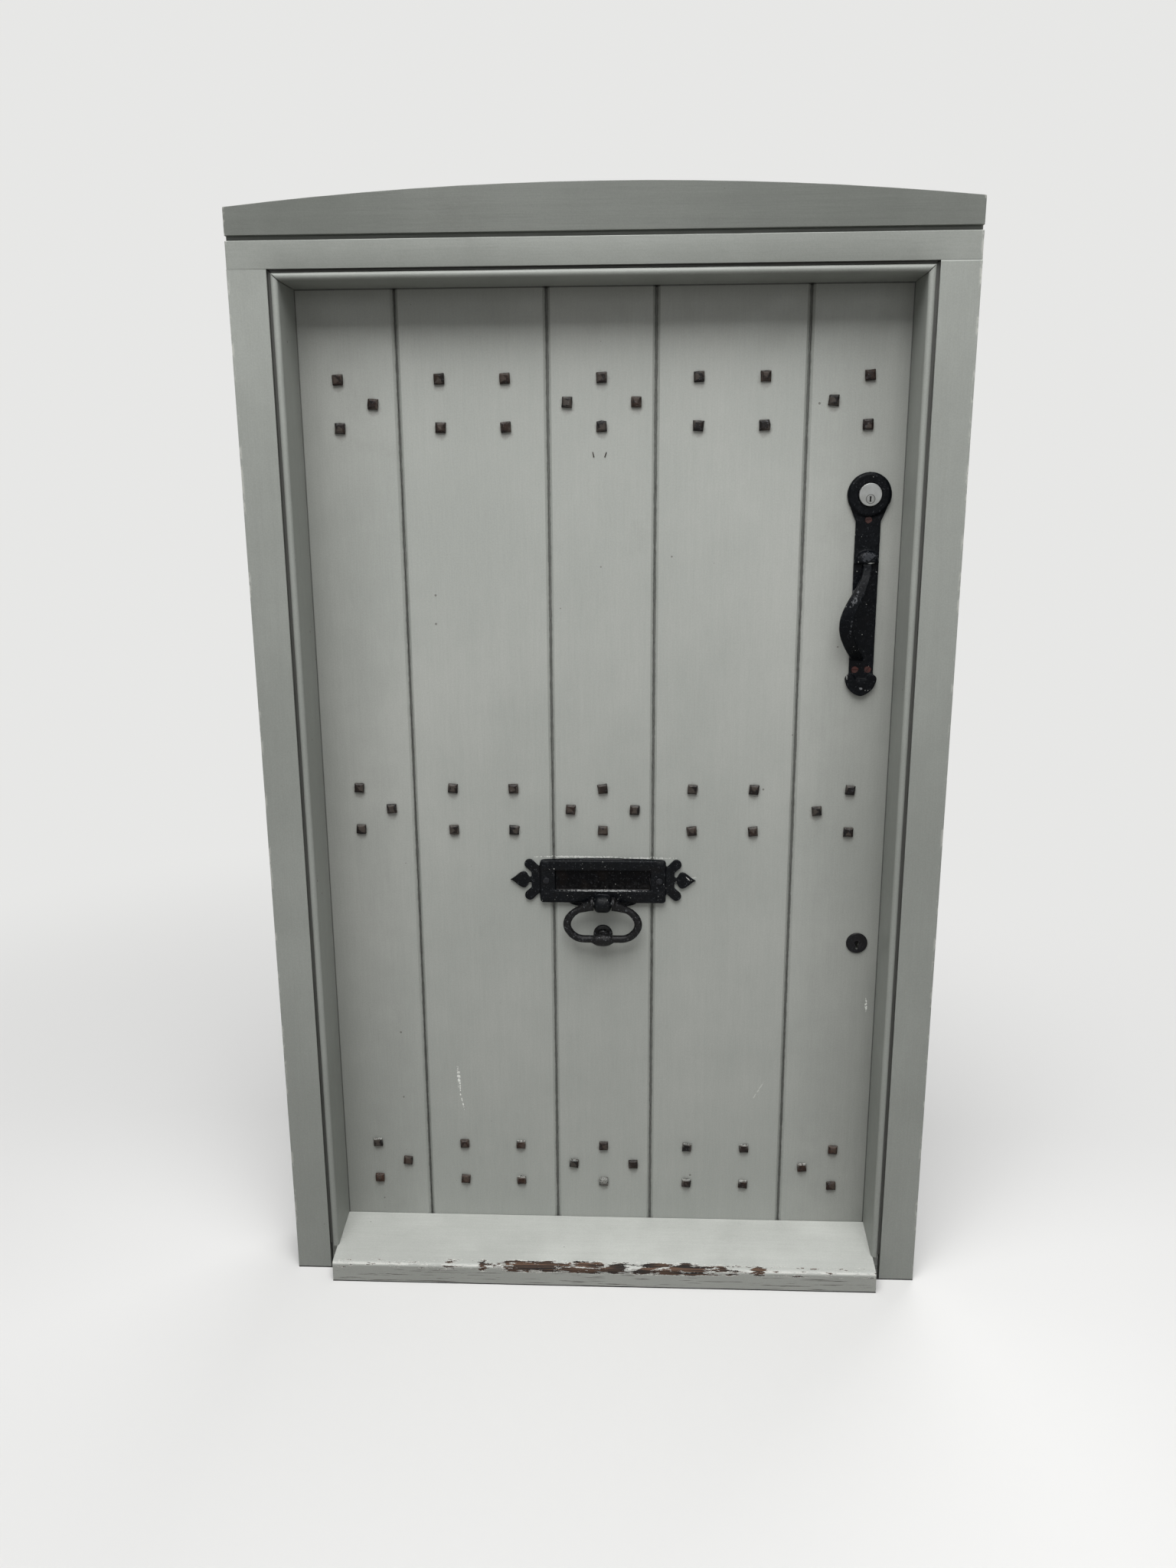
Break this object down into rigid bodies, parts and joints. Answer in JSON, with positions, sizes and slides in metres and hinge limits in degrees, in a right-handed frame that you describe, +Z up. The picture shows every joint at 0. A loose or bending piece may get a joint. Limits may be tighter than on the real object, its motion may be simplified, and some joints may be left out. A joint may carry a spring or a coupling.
{
  "type": "boarded cottage door in its frame",
  "caption": "Boarded, ledged and braced cottage door with V joints, iron studs, knocker letterplate and pull handle, in a beaded frame with an arched head board and sloping sill.",
  "frame": {"origin": "on the underside of the strip below the sill, in the middle of the doorway's width, in the plane of the leaf's outside face", "axes": "+X to the right as seen from outside, +Y into the house, +Z up"},
  "size_m": [1.058, 0.2093, 1.7256],
  "materials": {
    "frame_paint": "weathered grey-green oil paint on softwood, peeling to primer and bare wood along the sill's nose",
    "leaf_paint": "weathered pale grey-green oil paint on softwood boards",
    "rusty_iron": "black paint worn to brown rust",
    "black_iron": "black japanned, worn glossy on the high spots",
    "japanned_hinge": "black japanned",
    "zinc_steel": "dull zinc",
    "rusted_screw": "reddish rust",
    "satin_cylinder": "satin nickel",
    "lock_enamel": "bronze stove enamel",
    "lock_brass": "satin brass",
    "damp_strip": "black pitch-coated sheet"
  },
  "bodies": {
    "frame": {"jamb_left": "frame_paint", "jamb_right": "frame_paint", "head": "frame_paint", "arched_head_board": "frame_paint", "sill": "frame_paint", "damp_strip": "damp_strip", "hinge_cross_plate_top": "japanned_hinge", "hinge_cross_plate_bottom": "japanned_hinge", "hinge_pin_top": "japanned_hinge", "hinge_pin_bottom": "japanned_hinge", "hinge_screws_frame": "zinc_steel", "latch_keep": "lock_enamel", "deadlock_keep": "lock_enamel", "keep_screws": "zinc_steel"},
    "leaf": {"board_1": "leaf_paint", "board_2": "leaf_paint", "board_3": "leaf_paint", "board_4": "leaf_paint", "board_5": "leaf_paint", "ledge_top": "leaf_paint", "ledge_middle": "leaf_paint", "ledge_bottom": "leaf_paint", "studs_top": "rusty_iron", "studs_middle": "rusty_iron", "studs_bottom": "rusty_iron", "brace_lower": "leaf_paint", "brace_upper": "leaf_paint", "lock_block_upper": "leaf_paint", "lock_block_lower": "leaf_paint", "hinge_strap_top": "japanned_hinge", "hinge_strap_bottom": "japanned_hinge", "hinge_screws_leaf": "zinc_steel", "lock_screws": "zinc_steel", "pull_handle": "black_iron", "handle_screws": "rusted_screw", "cylinder_body": "satin_cylinder", "cylinder_clamp_plate": "zinc_steel", "cylinder_clamp_screws": "zinc_steel", "night_latch_case": "lock_enamel", "keyhole_escutcheon": "black_iron", "deadlock_case": "lock_enamel", "letterplate": "black_iron", "letterplate_bolts": "black_iron", "letterplate_nuts": "zinc_steel", "flap_rod": "black_iron", "knocker_stud": "black_iron"},
    "letter_flap": {"letter_flap": "black_iron"},
    "knocker": {"knocker_ring": "black_iron", "knocker_pin": "black_iron"},
    "cylinder_plug": {"cylinder_plug": "satin_cylinder"},
    "latch_knob": {"latch_knob": "lock_brass"},
    "latch_bolt": {"latch_bolt": "lock_brass"},
    "deadbolt": {"deadbolt": "lock_brass"}
  },
  "joints": [
    {"name": "leaf_swing", "type": "hinge", "parent": "frame", "child": "leaf", "pos_m": [-0.4725, 0.0535, 0.831], "axis": [0, 0, 1], "range_deg": [0, 100]},
    {"name": "flap_swing", "type": "hinge", "parent": "leaf", "child": "letter_flap", "pos_m": [0, -0.0037, 0.70758], "axis": [1, 0, 0], "range_deg": [0, 75], "stiffness_Nm_per_rad": 0.03, "springref_deg": -17.19},
    {"name": "knocker_swing", "type": "hinge", "parent": "leaf", "child": "knocker", "pos_m": [0, -0.0215, 0.65158], "axis": [-1, 0, 0], "range_deg": [0, 95]},
    {"name": "plug_turn", "type": "hinge", "parent": "leaf", "child": "cylinder_plug", "pos_m": [0.405, -0.013, 1.29608], "axis": [0, 1, 0], "range_deg": [0, 90]},
    {"name": "knob_turn", "type": "hinge", "parent": "leaf", "child": "latch_knob", "pos_m": [0.419, 0.076, 1.30258], "axis": [0, 1, 0], "range_deg": [0, 50]},
    {"name": "latch_slide", "type": "slide", "parent": "leaf", "child": "latch_bolt", "axis": [1, 0, 0], "range_m": [0, 0.012]},
    {"name": "deadbolt_slide", "type": "slide", "parent": "leaf", "child": "deadbolt", "axis": [1, 0, 0], "range_m": [0, 0.013]}
  ],
  "couplings": [
    {"joint": "latch_slide", "follows": "knob_turn", "m_per_rad": 0.01375}
  ]
}
